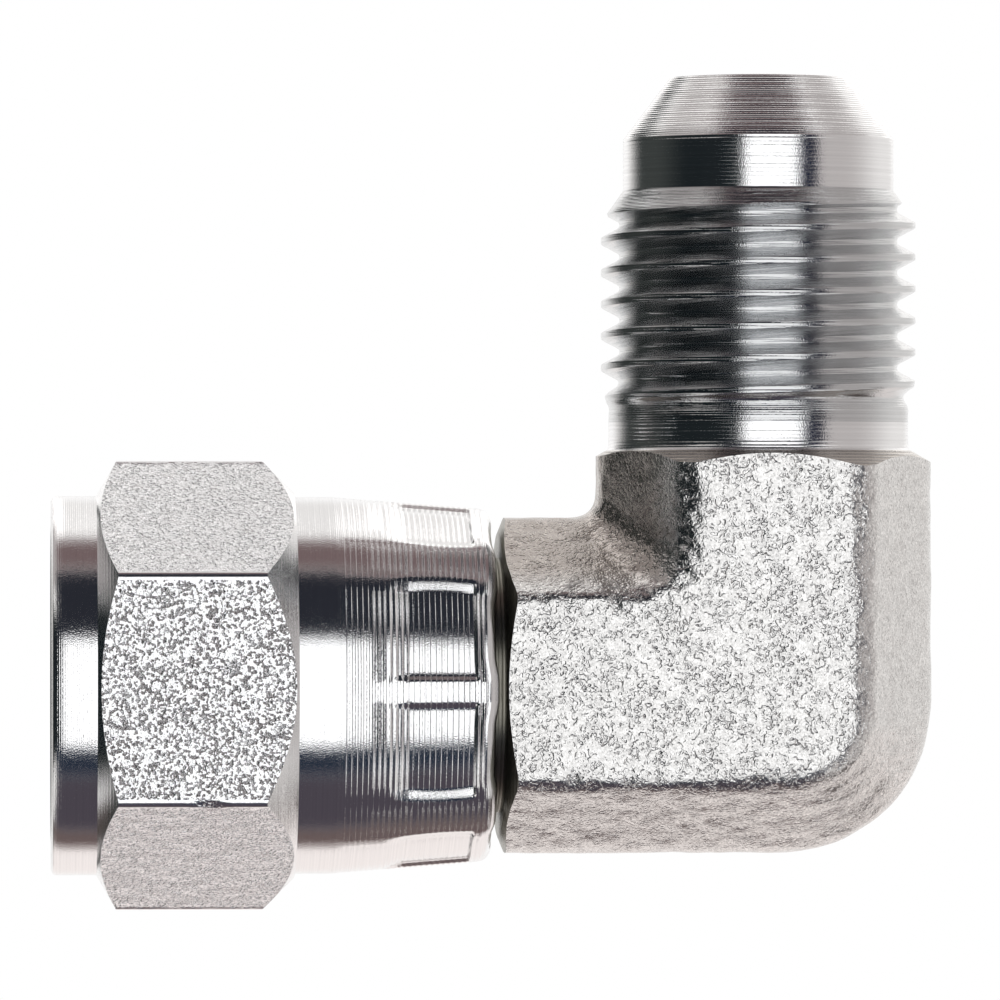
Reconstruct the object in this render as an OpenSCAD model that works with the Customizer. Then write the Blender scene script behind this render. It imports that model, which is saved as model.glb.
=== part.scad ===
// Ninety degree hydraulic elbow adapter: 37 degree male flare end by female swivel nut.
// Z runs up the male end and the nut points along -X. The origin is where the two centre lines cross.

/* [Threads] */
// Nominal diameter of both threads
thread_d = 12.7; // [12.5:0.05:13]
// Pitch of both threads, twenty to the inch
thread_pitch = 1.27; // [1:0.01:1.4]
// Allowance taken off the diameter of the male thread
thread_allowance = 0.1; // [0:0.01:0.2]

/* [Flow way] */
// Diameter of the two drillings that meet in the elbow
flow_d = 5.94; // [4.5:0.02:6.2]
// Included angle of the drill points
drill_point_angle = 118; // [90:1:140]
// How far each drilling runs past the crossing at full diameter
drill_overrun = 1; // [0.5:0.1:2]

/* [Male flare end] */
// From the crossing to the tip of the flare nose
centre_to_tip = 24.3; // [22:0.1:27]
// Half angle of the flare nose and of the seat inside the nut
flare_half_angle = 37; // [30:1:45]
// Diameter of the flat ring at the tip
tip_d = 7.12; // [6.8:0.02:8]
// Diameter of the plain land behind the flare nose
land_d = 10.84; // [10:0.02:10.9]
// Length of the plain land
land_length = 2.05; // [1:0.05:3]
// Slope of the lead-in from the land to the thread, from the axis
lead_in_angle = 35; // [30:1:45]
// Diameter of the plain neck between the thread and the forging
male_neck_d = 12; // [11.2:0.1:12.2]
// Length of the plain neck
male_neck_length = 1.7; // [1:0.1:3]
// Fillet at the foot of the neck, on the turned shoulder
neck_fillet = 0.25; // [0.1:0.05:0.3]

/* [Forged elbow] */
// Across the two wrench flats
flats_width = 12.7; // [12.4:0.05:13.4]
// Width of the forging at its trimmed parting line
parting_width = 13.44; // [13:0.02:14]
// Angle between a wrench flat and the sloping faces beside it
slope_angle = 60; // [55:1:64]
// Radius of the outside of the bend at the parting line
bend_outer_r = 6; // [5:0.1:6.6]
// Radius of the inside of the bend at the parting line
bend_inner_r = 0.9; // [0.4:0.1:1.5]
// Radius of the inside of the bend at the wrench flats
bend_flat_r = 2; // [1.5:0.1:3]
// How far the forging stands off the centre line of the male end, away from the nut
forging_offset = 0.2; // [0:0.05:0.3]
// From the crossing to the turned shoulder under the male end
centre_to_shoulder = 9.33; // [9:0.01:10.5]
// From the crossing to the turned face behind the nut
centre_to_tail_face = 10.45; // [10:0.05:12]
// Diameter where the chamfer of the turned shoulder starts
shoulder_d = 12.4; // [12.3:0.05:12.6]
// Diameter where the chamfer of the tail face starts
tail_face_d = 12.2; // [11.8:0.05:12.6]
// Slope of the chamfer on the shoulder, from the face
shoulder_chamfer_angle = 30; // [20:1:35]
// Slope of the chamfer on the tail face, from the face
tail_chamfer_angle = 22; // [15:1:30]

/* [Tail] */
// Diameter of the neck that runs through the crimped lip
tail_neck_d = 10.2; // [9.6:0.1:10.8]
// Length of the round head inside the nut
head_length = 2.45; // [1.5:0.05:4]
// Slope of the shoulder behind the head, from the axis
head_shoulder_angle = 30; // [25:1:45]
// Diameter of the mouth of the flare seat
seat_d = 11.2; // [10:0.1:11.4]

/* [Swivel nut] */
// Across the flats of the hexagon
nut_flats = 15.6; // [15.4:0.05:16]
// Depth that the corners of the hexagon are turned down by
nut_corner_break = 0.05; // [0.03:0.01:0.3]
// Overall length of the nut
nut_length = 17.55; // [16.5:0.05:20]
// Diameter of the plain ring at the front
front_ring_d = 15.12; // [14.6:0.02:15.3]
// Length of the plain ring at the front
front_ring_length = 1.8; // [1:0.1:3]
// Length of the hexagon
hexagon_length = 7.87; // [6.5:0.01:8.5]
// Slope of the chamfer at the front of the hexagon, from the face
front_chamfer_angle = 30; // [20:1:35]
// Slope of the chamfer at the back of the hexagon, from the face
back_chamfer_angle = 45; // [30:1:50]
// Diameter where the chamfer at the back of the hexagon starts
back_chamfer_d = 15.4; // [15.1:0.05:15.6]
// Wall of the collar behind the hexagon, over the relief inside
collar_wall = 1.12; // [1:0.01:1.2]
// Length of the straight part of the collar
collar_length = 1.5; // [0.8:0.1:2]
// Break on the outer edge of the front face
front_edge_break = 0.2; // [0.1:0.05:0.4]
// Depth of the chamfer in the mouth of the thread
mouth_chamfer = 0.8; // [0.5:0.05:1.2]

/* [Crimp] */
// Diameter of the crimped skirt at its back edge
skirt_d = 14.1; // [13.9:0.02:14.5]
// Rounding of the back edge of the skirt
skirt_round = 0.6; // [0.2:0.05:0.7]
// Length of the lip round the neck
lip_length = 1.92; // [1.5:0.02:2.5]
// Pairs of jaw marks round the skirt
jaw_pairs = 4; // [2:1:4]
// Angle that one jaw mark covers
jaw_mark_angle = 34.9; // [20:0.1:36]
// Angle between the middles of the two marks of a pair
jaw_pair_angle = 41.4; // [38:0.1:42]
// Turn of the marks about the axis of the nut
jaw_turn = -0.9; // [-20:0.1:20]
// Depth of the jaw marks
jaw_depth = 0.2; // [0.1:0.01:0.35]
// From the back edge of the skirt to the start of the jaw marks
jaw_margin = 0.85; // [0.7:0.05:1.2]
// Length of the floor of a jaw mark
jaw_length = 2.65; // [1.5:0.05:3]
// Length of the ramp at the front of a jaw mark
jaw_ramp = 0.8; // [0.2:0.05:1]

/* [Fits] */
// Radial clearance of the head in the nut
swivel_clearance = 0.08; // [0.05:0.01:0.1]
// Clearance of the nut from the neck, the shoulder and the front of the head
loose_clearance = 0.3; // [0.25:0.05:0.4]
// Gap between the back edge of the nut and the turned face
rim_gap = 0.3; // [0.25:0.05:0.5]
// Clearance of the relief behind the thread over the thread, on the diameter
relief_clearance = 0.1; // [0.05:0.05:0.3]

/* [Hidden] */
$fn = 96;
steel_forged = [0.80, 0.79, 0.77];
steel_turned = [0.70, 0.71, 0.74];

// Room that a cutter has past the surface that it cuts
spare = 1;

// Male end, heights above the crossing
thread_r = (thread_d - thread_allowance) / 2;
land_r = land_d / 2;
cone_z = centre_to_tip - (land_r - tip_d / 2) / tan(flare_half_angle);
lead_in_z = cone_z - land_length;
thread_top_z = lead_in_z - (thread_r - land_r) / tan(lead_in_angle);
thread_foot_z = centre_to_shoulder + male_neck_length;
neck_r = male_neck_d / 2;
tip_break = (tip_d - flow_d) / 6;

// Section of the forging, with y across the wrench flats and d out from the centre line
flat_y = flats_width / 2;
flat_d = flat_y * tan(slope_angle / 2);
parting_d = parting_width / 2;
slope_run = 1 / tan(slope_angle);
parting_y = flat_y - (parting_d - flat_d) / slope_run;
bend_pivot = parting_d - bend_outer_r;
blend_run = (bend_flat_r - bend_inner_r) / (flat_y - parting_y);
level_length = centre_to_tail_face + forging_offset;

// Nut and tail, distances from the crossing towards the nut
relief_r = (thread_d + relief_clearance) / 2;
collar_r = relief_r + collar_wall;
minor_r = thread_d / 2 - 0.54127 * thread_pitch;
rim_x = centre_to_tail_face + rim_gap;
nut_front_x = rim_x + nut_length;
ring_back_x = nut_front_x - front_ring_length;
hexagon_back_x = ring_back_x - hexagon_length;
collar_back_x = hexagon_back_x - collar_length;
tail_neck_r = tail_neck_d / 2;
lip_r = tail_neck_r + loose_clearance;
lip_front_x = rim_x + lip_length;
head_r = relief_r - swivel_clearance;
shoulder_front_x = lip_front_x + (head_r - tail_neck_r) / tan(head_shoulder_angle);
head_front_x = shoulder_front_x + head_length;
relief_back_x = lip_front_x + (relief_r - lip_r) / tan(head_shoulder_angle);
relief_front_x = head_front_x + loose_clearance;
seat_back_x = head_front_x - (seat_d - flow_d) / 2 / tan(flare_half_angle);
head_break = (head_r - seat_d / 2) / 3;
skirt_slope = (collar_r - skirt_d / 2) / (collar_back_x - rim_x);
jaw_back_x = rim_x + jaw_margin;
jaw_front_x = jaw_back_x + jaw_length;

// Points on an arc about a centre, from one angle to another
function arc(centre, r, from, to, steps = 8) =
    [for (i = [0:steps]) let (a = from + (to - from) * i / steps) centre + r * [cos(a), sin(a)]];

// Radius of the tapered skirt at a distance from the crossing
function skirt_r(x) = skirt_d / 2 + skirt_slope * (x - rim_x);

// Turns what stands on Z so that it points along -X, with its own X upwards
module along_nut() {
    rotate([0, -90, 0]) children();
}

// Outline of the forging seen square on to the wrench flats
module elbow_outline() {
    difference() {
        union() {
            translate([-parting_d, -parting_d]) square([parting_width, centre_to_shoulder + parting_d]);
            translate([-level_length, -parting_d]) square([level_length, parting_width]);
            translate([-parting_d - bend_inner_r, parting_d - spare])
                square([bend_inner_r + spare, bend_inner_r + spare]);
        }
        difference() {
            translate([bend_pivot, -parting_d - spare]) square(bend_outer_r + spare);
            translate([bend_pivot, -bend_pivot]) circle(r = bend_outer_r);
        }
        translate([-parting_d - bend_inner_r, parting_d + bend_inner_r]) circle(r = bend_inner_r);
    }
}

// What the slope takes off beyond a wrench flat, measured from d = shift
module slope_section(shift) {
    reach = parting_y - spare / 2;
    polygon([
        [flat_d - spare * slope_run - shift, flat_y + spare],
        [flat_d + (flat_y - reach) * slope_run - shift, reach],
        [parting_d + spare - shift, reach],
        [parting_d + spare - shift, flat_y + spare]
    ]);
}

// Slope on the outside of both legs and round the bend between them
module outer_slopes() {
    translate([0, 0, -bend_pivot]) linear_extrude(centre_to_shoulder + bend_pivot + spare) slope_section(0);
    translate([bend_pivot, 0, 0]) rotate([0, -90, 0])
        linear_extrude(level_length + bend_pivot + spare) mirror([1, 0]) slope_section(0);
    translate([bend_pivot, 0, -bend_pivot]) mirror([0, 1, 0]) rotate([90, 0, 0]) rotate([0, 0, -90])
        rotate_extrude(angle = 90) slope_section(bend_pivot);
}

// One level of the hollow inside the bend, at a distance y from the parting line
module inner_level(y) {
    corner = flat_d + (flat_y - y) * slope_run;
    round_r = bend_flat_r - (flat_y - y) * blend_run;
    far = level_length + centre_to_shoulder;
    translate([0, y, 0]) rotate([90, 0, 0]) linear_extrude(0.01) polygon(concat(
        arc([-corner - round_r, corner + round_r], round_r, 0, -90),
        [[-far, corner], [-far, far], [-corner, far]]
    ));
}

// Slope on the inside of both legs, with its blended corner
module inner_slopes() {
    hull() {
        inner_level(parting_y - spare / 2);
        inner_level(flat_y + spare);
    }
}

// Ring that turns a chamfer on an end of the forging
module end_chamfer(face, face_d, angle) {
    reach = parting_width;
    rotate_extrude() polygon([
        [face_d / 2, face],
        [reach, face - (reach - face_d / 2) * tan(angle)],
        [reach, face + spare],
        [face_d / 2, face + spare]
    ]);
}

// The forging as it left the dies, with the upright leg on its own Z
module raw_forging() {
    difference() {
        rotate([90, 0, 0]) linear_extrude(flats_width, center = true) elbow_outline();
        for (side = [0, 1]) mirror([0, side, 0]) {
            outer_slopes();
            inner_slopes();
        }
    }
}

// The forging with the ends that were turned about the two centre lines
module forging() {
    difference() {
        translate([forging_offset, 0, 0]) raw_forging();
        end_chamfer(centre_to_shoulder, shoulder_d, shoulder_chamfer_angle);
        along_nut() end_chamfer(centre_to_tail_face, tail_face_d, tail_chamfer_angle);
    }
}

module male_end() {
    runout = thread_r - neck_r;
    rotate_extrude() polygon(concat(
        [[0, 0], [neck_r, 0], [neck_r, centre_to_shoulder - spare],
         [neck_r + neck_fillet, centre_to_shoulder - spare]],
        arc([neck_r + neck_fillet, centre_to_shoulder + neck_fillet], neck_fillet, 270, 180, 4),
        [[neck_r, thread_foot_z], [thread_r, thread_foot_z + runout], [thread_r, thread_top_z],
         [land_r, lead_in_z], [land_r, cone_z], [tip_d / 2, centre_to_tip], [0, centre_to_tip]]
    ));
}

module tail() {
    along_nut() rotate_extrude() polygon([
        [0, 0],
        [tail_neck_r, 0],
        [tail_neck_r, lip_front_x],
        [head_r, shoulder_front_x],
        [head_r, head_front_x - head_break],
        [head_r - head_break, head_front_x],
        [0, head_front_x]
    ]);
}

// A drilling from its point, past the crossing, to its mouth
module drilling(mouth) {
    point = flow_d / 2 / tan(drill_point_angle / 2);
    rotate_extrude() polygon([
        [0, -drill_overrun - point],
        [flow_d / 2, -drill_overrun],
        [flow_d / 2, mouth + spare],
        [0, mouth + spare]
    ]);
}

// The 37 degree cone that a mating flare nose seats in
module flare_seat() {
    rise = spare * tan(flare_half_angle);
    rotate_extrude() polygon([
        [0, seat_back_x],
        [flow_d / 2, seat_back_x],
        [seat_d / 2 + rise, head_front_x + spare],
        [0, head_front_x + spare]
    ]);
}

module elbow_body() {
    color(steel_forged) difference() {
        union() {
            forging();
            male_end();
            tail();
        }
        drilling(centre_to_tip);
        along_nut() drilling(head_front_x);
        along_nut() flare_seat();
        translate([0, 0, centre_to_tip - tip_break]) cylinder(
            h = tip_break + spare, r1 = flow_d / 2, r2 = flow_d / 2 + tip_break + spare
        );
    }
}

// Hexagon with its corners turned and both ends chamfered
module hexagon() {
    sharp_r = nut_flats / 2 / cos(30);
    corner_r = sharp_r - nut_corner_break;
    ring_r = front_ring_d / 2;
    back_r = back_chamfer_d / 2;
    intersection() {
        translate([0, 0, hexagon_back_x]) linear_extrude(hexagon_length) circle(r = sharp_r, $fn = 6);
        rotate_extrude() polygon([
            [0, hexagon_back_x],
            [back_r, hexagon_back_x],
            [corner_r, hexagon_back_x + (corner_r - back_r) * tan(back_chamfer_angle)],
            [corner_r, ring_back_x - (corner_r - ring_r) * tan(front_chamfer_angle)],
            [ring_r, ring_back_x],
            [0, ring_back_x]
        ]);
    }
}

// Front ring, core of the hexagon, collar and tapered skirt, turned in one pass
module turned_nut() {
    ring_r = front_ring_d / 2;
    rotate_extrude() polygon(concat(
        [[0, rim_x]],
        arc([skirt_r(rim_x) - skirt_round, rim_x + skirt_round], skirt_round, -90, 0, 6),
        [[collar_r, collar_back_x], [collar_r, hexagon_back_x + spare], [ring_r, hexagon_back_x + spare],
         [ring_r, nut_front_x - front_edge_break], [ring_r - front_edge_break, nut_front_x], [0, nut_front_x]]
    ));
}

// Thread bore, relief for the head and lip that holds the neck
module nut_inside() {
    rotate_extrude() polygon([
        [0, rim_x - spare],
        [lip_r, rim_x - spare],
        [lip_r, lip_front_x],
        [relief_r, relief_back_x],
        [relief_r, relief_front_x],
        [minor_r, relief_front_x],
        [minor_r, nut_front_x - mouth_chamfer],
        [minor_r + mouth_chamfer + spare, nut_front_x + spare],
        [0, nut_front_x + spare]
    ]);
}

// What one crimping jaw presses in
module jaw_mark() {
    far_r = collar_r + spare;
    back_r = skirt_r(jaw_back_x) - jaw_depth;
    front_r = skirt_r(jaw_front_x) - jaw_depth;
    ramp_x = jaw_front_x + jaw_ramp * (far_r - front_r) / jaw_depth;
    rotate([0, 0, -jaw_mark_angle / 2]) rotate_extrude(angle = jaw_mark_angle) polygon([
        [back_r, jaw_back_x],
        [front_r, jaw_front_x],
        [far_r, ramp_x],
        [far_r, jaw_back_x]
    ]);
}

module swivel_nut() {
    color(steel_turned) along_nut() difference() {
        union() {
            hexagon();
            turned_nut();
        }
        nut_inside();
        for (pair = [0:jaw_pairs - 1], side = [-1, 1])
            rotate([0, 0, 360 / jaw_pairs * pair - 90 + jaw_turn + side * jaw_pair_angle / 2]) jaw_mark();
    }
}

elbow_body();
swivel_nut();
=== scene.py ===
"""Looks of a right-angle hydraulic elbow adapter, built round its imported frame.

Sizes are in millimetres until a finished mesh is scaled to metres. Z runs up the male flare end,
the swivel nut points along -X, and the two centre lines cross at the origin.
"""

from __future__ import annotations

import logging
import math
from collections.abc import Callable, Sequence
from dataclasses import dataclass, field
from enum import Enum

import bmesh
import bpy
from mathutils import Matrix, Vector, noise

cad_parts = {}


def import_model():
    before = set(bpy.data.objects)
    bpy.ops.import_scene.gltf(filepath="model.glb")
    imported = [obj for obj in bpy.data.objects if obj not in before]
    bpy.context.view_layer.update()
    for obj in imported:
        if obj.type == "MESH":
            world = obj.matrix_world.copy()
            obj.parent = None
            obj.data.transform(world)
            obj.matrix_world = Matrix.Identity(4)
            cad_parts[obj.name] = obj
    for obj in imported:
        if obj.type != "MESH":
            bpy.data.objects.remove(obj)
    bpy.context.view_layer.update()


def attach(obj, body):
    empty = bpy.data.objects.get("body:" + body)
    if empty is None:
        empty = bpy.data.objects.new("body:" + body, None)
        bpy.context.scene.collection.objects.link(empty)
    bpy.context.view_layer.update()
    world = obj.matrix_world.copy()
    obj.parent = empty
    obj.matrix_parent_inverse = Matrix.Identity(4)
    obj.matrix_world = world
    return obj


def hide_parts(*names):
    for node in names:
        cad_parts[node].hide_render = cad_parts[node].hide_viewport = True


log = logging.getLogger("elbow_adapter")

MM = 0.001
TURN = 2 * math.pi
WELD = 1e-4

Place = Callable[[float], Vector]


class Surface(Enum):
    """Which finish a stretch of a piece has, as the index of its material slot."""

    BLASTED = 0
    TURNED = 1
    FLANK = 2
    HIDDEN = 3
    SHOULDER = 4


def lerp(a: float, b: float, t: float) -> float:
    """Return the value a share t of the way from a to b."""
    return a + (b - a) * t


def ease(t: float) -> float:
    """Return t held between 0 and 1, with a soft start and end."""
    t = min(max(t, 0.0), 1.0)
    return t * t * (3 - 2 * t)


def ramp(t: float) -> float:
    """Return t held between 0 and 1, straight but for a short rounding at each end."""
    t = min(max(t, 0.0), 1.0)
    near = min(t, 1 - t)
    raised = near * near / 0.4 if near < 0.2 else near - 0.1
    return raised / 0.8 if t < 0.5 else 1 - raised / 0.8


def soft_max(a: float, b: float, k: float) -> float:
    """Return the larger of two values, rounded where they come within k of each other.

    Args:
        a: The first value.
        b: The second value.
        k: The width of the rounding.

    Returns:
        The rounded maximum.
    """
    gap = max(k - abs(a - b), 0.0)
    return max(a, b) + gap * gap / (4 * k)


def steps(start: float, end: float, count: int) -> list[float]:
    """Return count values that lead from start to end, without start itself."""
    return [lerp(start, end, (i + 1) / count) for i in range(count)]


@dataclass(frozen=True)
class ThreadForm:
    """The section of a 60 degree thread, with phase 0 in the middle of its crest."""

    pitch: float
    crest_r: float
    root_r: float
    crest_half: float
    root_start: float
    shift: float
    flank_lines: tuple[float, ...]

    def phase(self, along: float, theta: float) -> float:
        """Return how far a point is from the crest, as a share of the pitch from 0 to 0.5."""
        share = ((along - self.shift) / self.pitch - theta / TURN) % 1.0
        return min(share, 1 - share)

    def depth(self, along: float, theta: float) -> float:
        """Return how deep the section is at a point, from 0 at the crest to 1 at the root."""
        flank = (self.phase(along, theta) - self.crest_half) / (self.root_start - self.crest_half)
        flank = min(max(flank, 0.0), 1.12)
        crest = max(0.16 - flank, 0.0)
        root = max(flank - 0.82, 0.0)
        return min((flank - 0.08 + 3.125 * crest * crest - 1.25 * root * root) / 0.92, 1.0)

    def marks(self) -> list[float]:
        """Return the places of the grid lines in one pitch, as shares of it."""
        side = [lerp(self.crest_half, self.root_start, line) for line in self.flank_lines] + [0.5]
        return side + [1 - share for share in reversed(side[:-1])]


class Skin:
    """A closed mesh that is made of sheets, each a grid whose points are then put in place."""

    def __init__(self, columns: Sequence[float]) -> None:
        """Start an empty skin whose sheets share the same columns round the axis."""
        self.columns = [*columns, TURN]
        self.mesh = bmesh.new()

    def sheet(self, rows: Sequence[Place], surfaces: Sequence[Surface]) -> None:
        """Add a sheet that runs once round the axis.

        Args:
            rows: For each row, a function from the column's angle to its point.
            surfaces: For each strip between two rows, its finish.
        """
        wide = len(self.columns) - 1
        high = len(rows) - 1
        grid = bmesh.ops.create_grid(self.mesh, x_segments=wide, y_segments=high, size=1.0)
        row_of = {}
        for vert in grid["verts"]:
            column = round((vert.co.x + 1) / 2 * wide)
            row = round((vert.co.y + 1) / 2 * high)
            row_of[vert] = row
            vert.co = rows[row](self.columns[column])
        faces = {face for vert in grid["verts"] for face in vert.link_faces}
        for face in faces:
            face.material_index = surfaces[min(row_of[vert] for vert in face.verts)].value

    def close(self, name: str, crease_deg: float) -> bpy.types.Object:
        """Weld the sheets, mark the creases and return the finished piece.

        Args:
            name: The name of the piece.
            crease_deg: The angle between two faces past which their edge is sharp.

        Returns:
            The object, in metres, with its place in its mesh.
        """
        bm = self.mesh
        bmesh.ops.remove_doubles(bm, verts=bm.verts, dist=WELD)
        bmesh.ops.dissolve_degenerate(bm, edges=bm.edges, dist=WELD)
        bmesh.ops.recalc_face_normals(bm, faces=bm.faces)
        limit = math.radians(crease_deg)
        for edge in bm.edges:
            edge.smooth = not edge.is_manifold or edge.calc_face_angle(0.0) < limit
        for face in bm.faces:
            face.smooth = True
        bmesh.ops.scale(bm, verts=bm.verts, vec=Vector((MM, MM, MM)))
        data = bpy.data.meshes.new(name)
        bm.to_mesh(data)
        bm.free()
        piece = bpy.data.objects.new(name, data)
        bpy.context.scene.collection.objects.link(piece)
        return piece


class Turning:
    """Rows of a surface that is turned about one of the two centre lines."""

    def __init__(self, axis: Vector, across: Vector) -> None:
        """Keep the axis and the direction of angle 0, both of length 1."""
        self.axis = axis
        self.across = across
        self.side = Vector((0, 1, 0))

    def point(self, along: float, r: float, theta: float) -> Vector:
        """Return the point at a distance along the axis, a radius and an angle."""
        return self.axis * along + (self.across * math.cos(theta) + self.side * math.sin(theta)) * r

    def ring(self, along: float, r: float) -> Place:
        """Return a row that is a plain ring."""
        return lambda theta: self.point(along, r, theta)

    def rings(self, profile: Sequence[tuple[float, float]]) -> list[Place]:
        """Return a plain ring for each distance and radius of a profile."""
        return [self.ring(along, r) for along, r in profile]

    def thread(
        self, form: ThreadForm, low: float, high: float, radius: Callable[[float, float], float]
    ) -> list[Place]:
        """Return the rows of a threaded stretch, which follow the helix.

        Args:
            form: The section of the thread.
            low: Where the stretch starts, along the axis.
            high: Where the stretch ends, along the axis.
            radius: The radius at a distance along the axis and an angle.

        Returns:
            Rows that start as a flat ring at low and end as a flat ring at high.
        """

        def row(mark: float) -> Place:
            def place(theta: float) -> Vector:
                along = form.shift + form.pitch * (mark + theta / TURN)
                along = min(max(along, low), high)
                return self.point(along, radius(along, theta), theta)

            return place

        first = math.floor((low - form.shift) / form.pitch) - 1
        last = math.ceil((high - form.shift) / form.pitch)
        marks = [turn + share for turn in range(first, last + 1) for share in form.marks()]
        start = (low - form.shift) / form.pitch - 1
        end = (high - form.shift) / form.pitch
        inner = [mark for mark in marks if start < mark < end]
        return [row(mark) for mark in [start, *inner, end]]


@dataclass(frozen=True)
class Grain:
    """A shot-blasted and plated surface, with its grain in metres."""

    name: str
    color: tuple[float, float, float]
    roughness: float
    grain: float
    depth: float
    pit: float
    crack: float
    dent: float
    tone: float
    smooth_r: float = 1.0
    # The darker colour of the painted shade on the slopes inside the bend, if any.
    painted_recess_shade: tuple[float, float, float] | None = None


@dataclass(frozen=True)
class Marks:
    """A turned and plated surface, with the pitch of its tool marks in metres."""

    name: str
    color: tuple[float, float, float]
    roughness: float
    axis: tuple[float, float, float]
    pitch: float
    depth: float
    streak: float
    grit: float
    tone: float


class Tree:
    """Short calls for the nodes of one node tree."""

    def __init__(self, tree: bpy.types.NodeTree) -> None:
        """Keep the tree that the calls add to."""
        self.tree = tree

    def add(self, kind: str, **values: object) -> bpy.types.Node:
        """Add a node and set its plain properties."""
        node = self.tree.nodes.new(kind)
        for key, value in values.items():
            setattr(node, key, value)
        return node

    def join(self, source: bpy.types.NodeSocket, target: bpy.types.NodeSocket) -> None:
        """Join an output to an input."""
        self.tree.links.new(source, target)

    def math(self, operation: str, *inputs: object) -> bpy.types.NodeSocket:
        """Add a Math node whose inputs are sockets or numbers, and return its output."""
        node = self.add("ShaderNodeMath", operation=operation)
        for socket, value in zip(node.inputs, inputs):
            if isinstance(value, (int, float)):
                socket.default_value = value
            else:
                self.join(value, socket)
        return node.outputs[0]


def new_group(
    name: str, inputs: dict[str, str], outputs: dict[str, str]
) -> tuple[bpy.types.NodeTree, Tree, bpy.types.Node, bpy.types.Node]:
    """Make an empty shader node group.

    Args:
        name: The name of the group.
        inputs: Socket names and types that go in.
        outputs: Socket names and types that come out.

    Returns:
        The group, its calls, its input node and its output node.
    """
    group = bpy.data.node_groups.new(name, "ShaderNodeTree")
    for direction, sockets in (("INPUT", inputs), ("OUTPUT", outputs)):
        for socket, kind in sockets.items():
            group.interface.new_socket(name=socket, in_out=direction, socket_type=kind)
    tree = Tree(group)
    return group, tree, tree.add("NodeGroupInput"), tree.add("NodeGroupOutput")


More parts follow.
